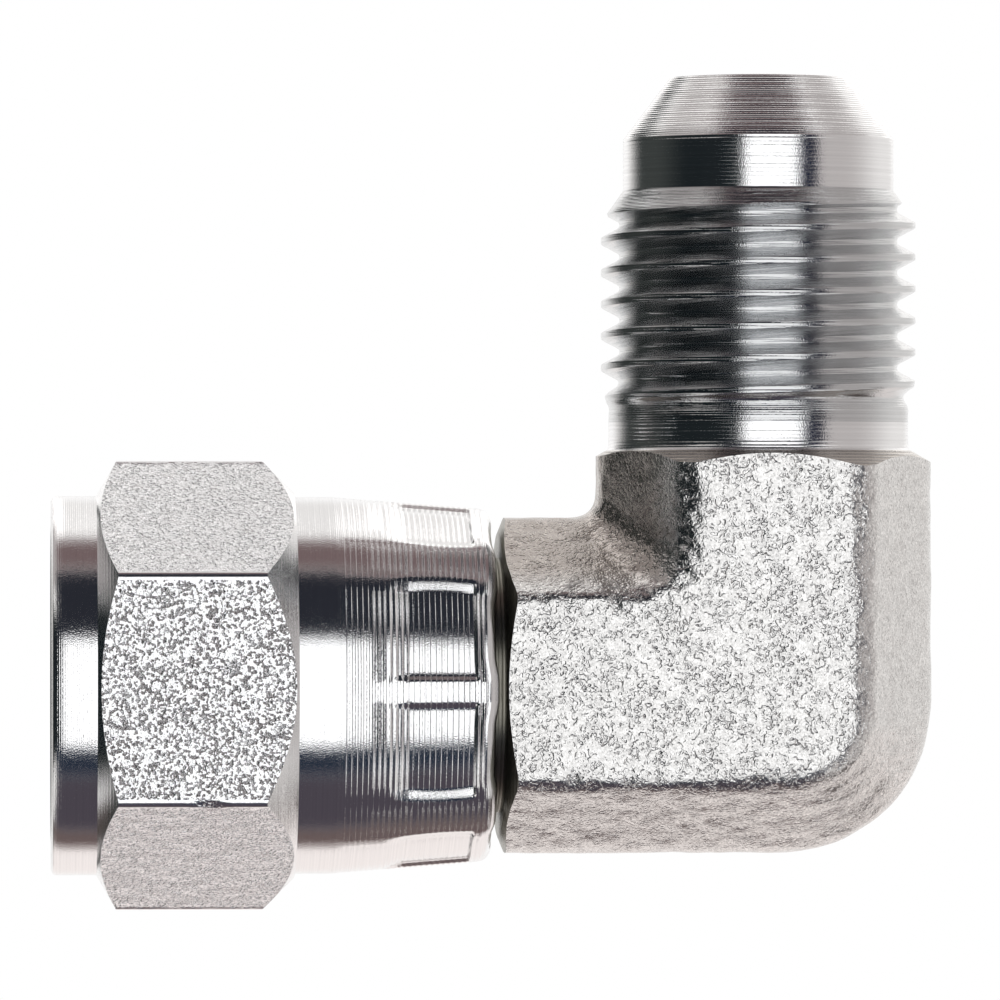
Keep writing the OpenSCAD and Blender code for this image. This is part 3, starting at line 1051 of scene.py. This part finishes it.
        def place(theta: float) -> Vector:
            here = lerp(r, self.hexagon_r(theta), share)
            return self.line.point(along + (here - r) * fall, here, theta)

        return place

    def flank_row(self, share: float) -> Place:
        """Return a row on the flats of the hexagon, a share of the way from front to back."""
        front_fall = math.tan(math.radians(self.front_chamfer))
        back_fall = math.tan(math.radians(self.back_chamfer))

        def place(theta: float) -> Vector:
            r = self.hexagon_r(theta)
            front = self.ring_back - (r - self.ring_r) * front_fall
            back = self.hexagon_back + (r - self.back_chamfer_r) * back_fall
            along = lerp(front, back, share)
            return self.line.point(along, self.nicked_r(theta, along), theta)

        return place

    def outside_rows(self) -> tuple[list[Place], list[Surface]]:
        """Return the rows from the front face to the back face, with the finish of each strip."""
        r, cut = self.ring_r, self.edge_break
        front_fall = -math.tan(math.radians(self.front_chamfer))
        back_fall = math.tan(math.radians(self.back_chamfer))
        profile = [(self.front, self.minor_r + self.mouth_chamfer), (self.front, r - cut)]
        profile += [(self.front - cut * 0.35, r - cut * 0.3), (self.front - cut, r)]
        profile += [(along, r) for along in steps(self.front - cut, self.ring_back, 4)]
        rows = self.line.rings(profile)
        front_start = (self.ring_back, r)
        rows += [self.chamfer_row(front_start, front_fall, share) for share in (0.5, 1.0)]
        turned = len(rows) - 1
        flats = 26
        rows += [self.flank_row(share) for share in steps(0.0, 1.0, flats)]
        back_start = (self.hexagon_back, self.back_chamfer_r)
        rows += [self.chamfer_row(back_start, back_fall, share) for share in (0.5, 0.0)]
        rows += [self.line.ring(self.hexagon_back, self.collar_r)]
        rows += [self.line.ring(along, self.collar_r) for along in steps(self.hexagon_back, self.collar_back, 4)]
        step = self.groove_pitch / 4
        start = math.ceil((self.rim + self.rim_bare) / step)
        rows += [self.skirt_row(step * i) for i in range(math.floor(self.collar_back / step), start - 1, -1)]
        bare = math.degrees(math.asin(1 - self.rim_bare / self.rim_round))
        for angle in steps(bare, 90, 4):
            turn = math.radians(angle)
            along = self.rim + self.rim_round * (1 - math.sin(turn))
            rows.append(self.rim_row(along, self.skirt_r - self.rim_round * (1 - math.cos(turn))))
        rows.append(self.rim_row(self.rim, self.lip_r))
        rest = len(rows) - 1 - turned - flats
        surfaces = [Surface.TURNED] * turned + [Surface.BLASTED] * flats + [Surface.TURNED] * rest
        return rows, surfaces

    def thread_radius(self, along: float, theta: float) -> float:
        """Return the radius of the threaded bore, opened by the chamfer in its mouth."""
        mouth = self.minor_r + self.mouth_chamfer - (self.front - along)
        cut = ease((along - self.relief_front) / 0.5)
        thread = lerp(self.minor_r, self.major_r, self.form.depth(along, theta) * cut)
        return max(thread, mouth)

    def build(self) -> bpy.types.Object:
        """Return the finished nut."""
        skin = Skin(self.column_angles())
        rows, surfaces = self.outside_rows()
        skin.sheet(rows, surfaces)
        inside = [self.rim_row(self.rim, self.lip_r)]
        inside += self.line.rings([
            (self.lip_front, self.lip_r),
            (self.relief_back, self.relief_r),
            (self.relief_front, self.relief_r),
            (self.relief_front, self.minor_r),
        ])
        skin.sheet(inside, [Surface.HIDDEN] * (len(inside) - 1))
        thread = self.line.thread(self.form, self.relief_front, self.front, self.thread_radius)
        skin.sheet(thread, [Surface.FLANK] * (len(thread) - 1))
        return skin.close("nut_shell", 28.0)


class Bend(Enum):
    """The axis that a patch of the tent is bent round."""

    OVER = "X"
    BESIDE = "Z"


@dataclass(frozen=True)
class Patch:
    """A soft-edged area of the reflection tent.

    Its angles run from the camera's side, up for OVER and to the right for BESIDE, in degrees.
    Its width is the sine of the angle that it covers to each side of its middle, past the part
    that its inner width leaves out.
    """

    shade: tuple[float, float, float]
    bend: Bend
    start: float
    end: float
    width: float
    start_soft: float = 2.0
    end_soft: float = 2.0
    side_soft: float = 0.06
    inner: float = 0.0


@dataclass
class Tent:
    """The tent that the bright steel reflects: pale, with a white window before and behind."""

    radius: float = 0.4
    base: tuple[float, float, float] = (0.84, 0.82, 0.8)
    window: tuple[float, float, float] = (1.0, 0.99, 0.98)
    patches: tuple[Patch, ...] = (
        Patch((1.35, 1.32, 1.29), Bend.OVER, 105, 165, 0.5, 6, 15, 0.05, inner=0.12),
        Patch((0.95, 0.88, 0.85), Bend.OVER, -160, -100, 0.8, 15, 4, 0.12),
        Patch((0.43, 0.4, 0.39), Bend.OVER, 70, 126, 0.8, 4, 8, 0.1, inner=0.36),
        Patch((1.24, 1.24, 1.24), Bend.BESIDE, -30, 60, 0.8, 8, 8, 0.1),
        Patch((0.045, 0.05, 0.048), Bend.BESIDE, -138, -17.5, 0.6, 14, 1.5, 0.08),
        Patch((0.03, 0.035, 0.035), Bend.BESIDE, -158, -120, 0.6, 5, 5, 0.08, inner=0.25),
        Patch((0.011, 0.015, 0.017), Bend.BESIDE, -85, -17.5, 0.6, 18, 1.5, 0.08),
        Patch((0.5, 0.47, 0.46), Bend.BESIDE, 40, 100, 0.62, 1.5, 26, 0.1),
        Patch((0.01, 0.013, 0.03), Bend.BESIDE, 29.5, 47, 0.62, 1.2, 1.2, 0.1),
        Patch((0.08, 0.065, 0.06), Bend.OVER, -128, -96, 0.85, 4, 4, 0.1, inner=0.4),
        Patch((0.14, 0.1, 0.095), Bend.OVER, -115, -96, 0.45, 4, 4, 0.1),
        Patch((0.07, 0.06, 0.075), Bend.OVER, -98, -53, 0.48, 4, 4, 0.1),
        Patch((0.018, 0.026, 0.045), Bend.OVER, -55, -36.5, 0.48, 3, 1, 0.1),
        Patch((0.02, 0.022, 0.03), Bend.OVER, 29.5, 76, 0.5, 1, 4, 0.12),
        Patch((0.17, 0.12, 0.12), Bend.OVER, 76, 101, 0.4, 4, 6, 0.12),
    )

    def material(self) -> bpy.types.Material:
        """Return the glow of the tent, laid out by direction from its middle."""
        material = bpy.data.materials.new("reflection_tent")
        material.use_nodes = True
        tree = Tree(material.node_tree)
        material.node_tree.nodes.remove(material.node_tree.nodes["Principled BSDF"])
        outward = tree.add("ShaderNodeVectorMath", operation="NORMALIZE")
        tree.join(tree.add("ShaderNodeTexCoord").outputs["Object"], outward.inputs[0])
        part = tree.add("ShaderNodeSeparateXYZ")
        tree.join(outward.outputs[0], part.inputs[0])
        x, y, z = part.outputs
        ahead = tree.math("MULTIPLY", y, -1.0)
        along = {
            Bend.OVER: tree.math("ARCTAN2", z, ahead),
            Bend.BESIDE: tree.math("ARCTAN2", x, ahead),
        }
        across = {Bend.OVER: tree.math("ABSOLUTE", x), Bend.BESIDE: tree.math("ABSOLUTE", z)}
        color = self.mixed(tree, self.base, self.window, self.edge(tree, y, 0.88, 0.08, True))
        for patch in self.patches:
            place, side = along[patch.bend], across[patch.bend]
            radians = [
                math.radians(angle)
                for angle in (patch.start, patch.start_soft, patch.end, patch.end_soft)
            ]
            mask = tree.math(
                "MULTIPLY",
                self.edge(tree, place, radians[0], radians[1], True),
                self.edge(tree, place, radians[2], radians[3], False),
            )
            mask = tree.math("MULTIPLY", mask, self.edge(tree, side, patch.width, patch.side_soft, False))
            if patch.inner:
                beyond = self.edge(tree, side, patch.inner, patch.side_soft, True)
                mask = tree.math("MULTIPLY", mask, beyond)
            color = self.mixed(tree, color, patch.shade, mask)
        glow = tree.add("ShaderNodeEmission")
        tree.join(color, glow.inputs["Color"])
        tree.join(glow.outputs[0], material.node_tree.nodes["Material Output"].inputs["Surface"])
        return material

    @staticmethod
    def edge(
        tree: Tree, value: bpy.types.NodeSocket, place: float, soft: float, rising: bool
    ) -> bpy.types.NodeSocket:
        """Return a mask that rises or falls softly where a value passes a place."""
        node = tree.add("ShaderNodeMapRange", interpolation_type="SMOOTHSTEP")
        tree.join(value, node.inputs["Value"])
        node.inputs["From Min"].default_value = place - soft
        node.inputs["From Max"].default_value = place + soft
        node.inputs["To Min"].default_value = 0.0 if rising else 1.0
        node.inputs["To Max"].default_value = 1.0 if rising else 0.0
        return node.outputs["Result"]

    @staticmethod
    def mixed(
        tree: Tree, under: object, shade: tuple[float, float, float], mask: bpy.types.NodeSocket
    ) -> bpy.types.NodeSocket:
        """Return a colour with a shade laid over it through a mask."""
        node = tree.add("ShaderNodeMix", data_type="RGBA")
        tree.join(mask, node.inputs["Factor"])
        if isinstance(under, tuple):
            node.inputs[6].default_value = (*under, 1.0)
        else:
            tree.join(under, node.inputs[6])
        node.inputs[7].default_value = (*shade, 1.0)
        return node.outputs[2]

    def mesh(self) -> bmesh.types.BMesh:
        """Return the ball of the tent."""
        bm = bmesh.new()
        bmesh.ops.create_uvsphere(bm, u_segments=48, v_segments=24, radius=self.radius)
        return bm


@dataclass
class Studio:
    """The camera, the floor, the lamp, the white surroundings and the reflection tent."""

    aim: tuple[float, float, float] = (-0.01036, 0.0, 0.0074)
    azimuth: float = -3.3
    elevation: float = 0.0
    distance: float = 0.335
    field: float = 0.04
    sensor: float = 36.0
    floor_z: float = -0.45
    floor_lift: float = 0.3

    def camera(self) -> None:
        """Put the camera at the photograph's viewing angle."""
        turn, rise = math.radians(self.azimuth), math.radians(self.elevation)
        away = Vector((
            math.sin(turn) * math.cos(rise), -math.cos(turn) * math.cos(rise), math.sin(rise),
        ))
        data = bpy.data.cameras.new("camera")
        data.sensor_width = self.sensor
        data.lens = self.sensor * self.distance / self.field
        data.clip_start = 0.01
        data.clip_end = 20.0
        camera = bpy.data.objects.new("camera", data)
        camera.location = Vector(self.aim) + away * self.distance
        camera.rotation_euler = (-away).to_track_quat("-Z", "Y").to_euler()
        bpy.context.scene.collection.objects.link(camera)
        bpy.context.scene.camera = camera

    def surroundings(self) -> None:
        """Make the world white for the camera and for gloss, and plain light for the rest."""
        world = bpy.data.worlds.new("surroundings")
        world.use_nodes = True
        tree = Tree(world.node_tree)
        background = world.node_tree.nodes["Background"]
        background.inputs["Color"].default_value = (1.0, 1.0, 1.0, 1.0)
        path = tree.add("ShaderNodeLightPath")
        seen = tree.math("MAXIMUM", path.outputs["Is Camera Ray"], path.outputs["Is Glossy Ray"])
        seen = tree.math("MAXIMUM", seen, path.outputs["Is Transmission Ray"])
        strength = tree.math("ADD", tree.math("MULTIPLY", seen, 0.4), 0.6)
        tree.join(strength, background.inputs["Strength"])
        bpy.context.scene.world = world

    def floor(self) -> None:
        """Lay a plain pale floor well below the part, which a pipe or hose holds in use."""
        bm = bmesh.new()
        bmesh.ops.create_grid(bm, x_segments=1, y_segments=1, size=6.0)
        bmesh.ops.translate(bm, verts=bm.verts, vec=Vector((0, 0, self.floor_z)))
        material = bpy.data.materials.new("pale_floor")
        material.use_nodes = True
        shader = material.node_tree.nodes["Principled BSDF"]
        shader.inputs["Base Color"].default_value = (0.93, 0.93, 0.93, 1.0)
        shader.inputs["Roughness"].default_value = 0.9
        shader.inputs["Emission Color"].default_value = (1.0, 1.0, 1.0, 1.0)
        tree = Tree(material.node_tree)
        seen = tree.add("ShaderNodeLightPath").outputs["Is Camera Ray"]
        tree.join(tree.math("MULTIPLY", seen, self.floor_lift), shader.inputs["Emission Strength"])
        self.place(bm, "floor", material)

    def lamp(self) -> None:
        """Hang one soft lamp over the front left, for the floor and its shadow."""
        data = bpy.data.lights.new("soft_lamp", "AREA")
        data.size = 1.2
        data.energy = 6.0
        lamp = bpy.data.objects.new("soft_lamp", data)
        lamp.location = (-0.5, -0.7, 1.1)
        lamp.rotation_euler = (-lamp.location).to_track_quat("-Z", "Y").to_euler()
        lamp.visible_glossy = False
        bpy.context.scene.collection.objects.link(lamp)

    @staticmethod
    def place(bm: bmesh.types.BMesh, name: str, material: bpy.types.Material) -> bpy.types.Object:
        """Turn a mesh into a stage object with one material."""
        data = bpy.data.meshes.new(name)
        bm.to_mesh(data)
        bm.free()
        data.materials.append(material)
        thing = bpy.data.objects.new(name, data)
        bpy.context.scene.collection.objects.link(thing)
        return thing

    def pitch_tent(self, tent: Tent) -> None:
        """Put the tent round the part, where only reflections see it."""
        cover = self.place(tent.mesh(), "reflection_tent", tent.material())
        cover.visible_camera = False
        cover.visible_diffuse = False
        cover.visible_shadow = False
        cover.visible_transmission = False

    def build(self) -> None:
        """Set up the whole studio."""
        self.camera()
        self.surroundings()
        self.floor()
        self.lamp()
        self.pitch_tent(Tent())


class Adapter:
    """The whole adapter: its two pieces and their finishes."""

    def __init__(self) -> None:
        """Make the finishes."""
        finishes = Finishes()
        forged = Grain(
            "blasted_zinc", (1.0, 0.99, 0.98), 0.24, 0.00015, 0.000022, 1.1, 0.6, 5.0, 0.46,
            # Painted shade: the darker colour for the slopes inside the bend.
            painted_recess_shade=(0.53, 0.49, 0.46),
        )
        flats = Grain(
            "blasted_nut_zinc", (0.98, 0.98, 1.0), 0.18, 0.000125, 0.00004, 2.25, 0.0, 1.5, 0.16, smooth_r=0.0088
        )
        zinc = (0.93, 0.93, 0.94)
        # Painted shade: the threads get a darker grey than the other turned zinc.
        thread_shade_grey = (0.7, 0.71, 0.72)
        brown = (0.62, 0.58, 0.54)
        dull = (0.3, 0.29, 0.25)
        upright = (0.0, 0.0, 1.0)
        level = (1.0, 0.0, 0.0)
        self.body_finishes = [
            finishes.blasted(forged),
            finishes.turned(Marks("turned_zinc_upright", zinc, 0.14, upright, 0.00015, 0.000008, 0.8, 0.45, 0.08)),
            finishes.turned(Marks("thread_zinc", thread_shade_grey, 0.12, upright, 0.0001, 0.000008, 1.6, 0.6, 0.12)),
            finishes.turned(Marks("tail_face_zinc", dull, 0.3, level, 0.00015, 0.000009, 0.6, 0.4, 0.08)),
            finishes.turned(Marks("shoulder_zinc", brown, 0.2, upright, 0.00032, 0.00004, 0.3, 0.1, 0.1)),
        ]
        self.nut_finishes = [
            finishes.blasted(flats),
            finishes.turned(Marks("turned_zinc_level", zinc, 0.13, level, 0.00008, 0.000002, 0.8, 1.8, 0.05)),
            finishes.turned(Marks("nut_thread_zinc", thread_shade_grey, 0.2, level, 0.0003, 0.000002, 1.0, 1.0, 0.04)),
            finishes.turned(Marks("nut_bore_zinc", dull, 0.3, level, 0.0003, 0.000002, 1.0, 1.0, 0.04)),
        ]

    @staticmethod
    def dress(piece: bpy.types.Object, materials: Sequence[bpy.types.Material], node: str, body: str, slot: str) -> None:
        """Give a piece its materials, its body and the node that it stands for."""
        for material in materials:
            piece.data.materials.append(material)
        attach(piece, body)
        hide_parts(node)
        log.info("%s: %d faces, rides on %s", piece.name, len(piece.data.polygons), body)

    def build(self) -> None:
        """Build and dress both pieces."""
        self.dress(ElbowBody().build(), self.body_finishes, "elbow_body", "elbow", "forged_steel")
        self.dress(SwivelNut().build(), self.nut_finishes, "swivel_nut", "nut", "turned_steel")


def main() -> None:
    """Load the frame, then build the studio and the adapter."""
    logging.basicConfig(level=logging.INFO, format="%(name)s: %(message)s")
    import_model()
    view = bpy.context.scene.view_settings
    view.view_transform = "Standard"
    Studio().build()
    Adapter().build()


if __name__ == "__main__":
    main()
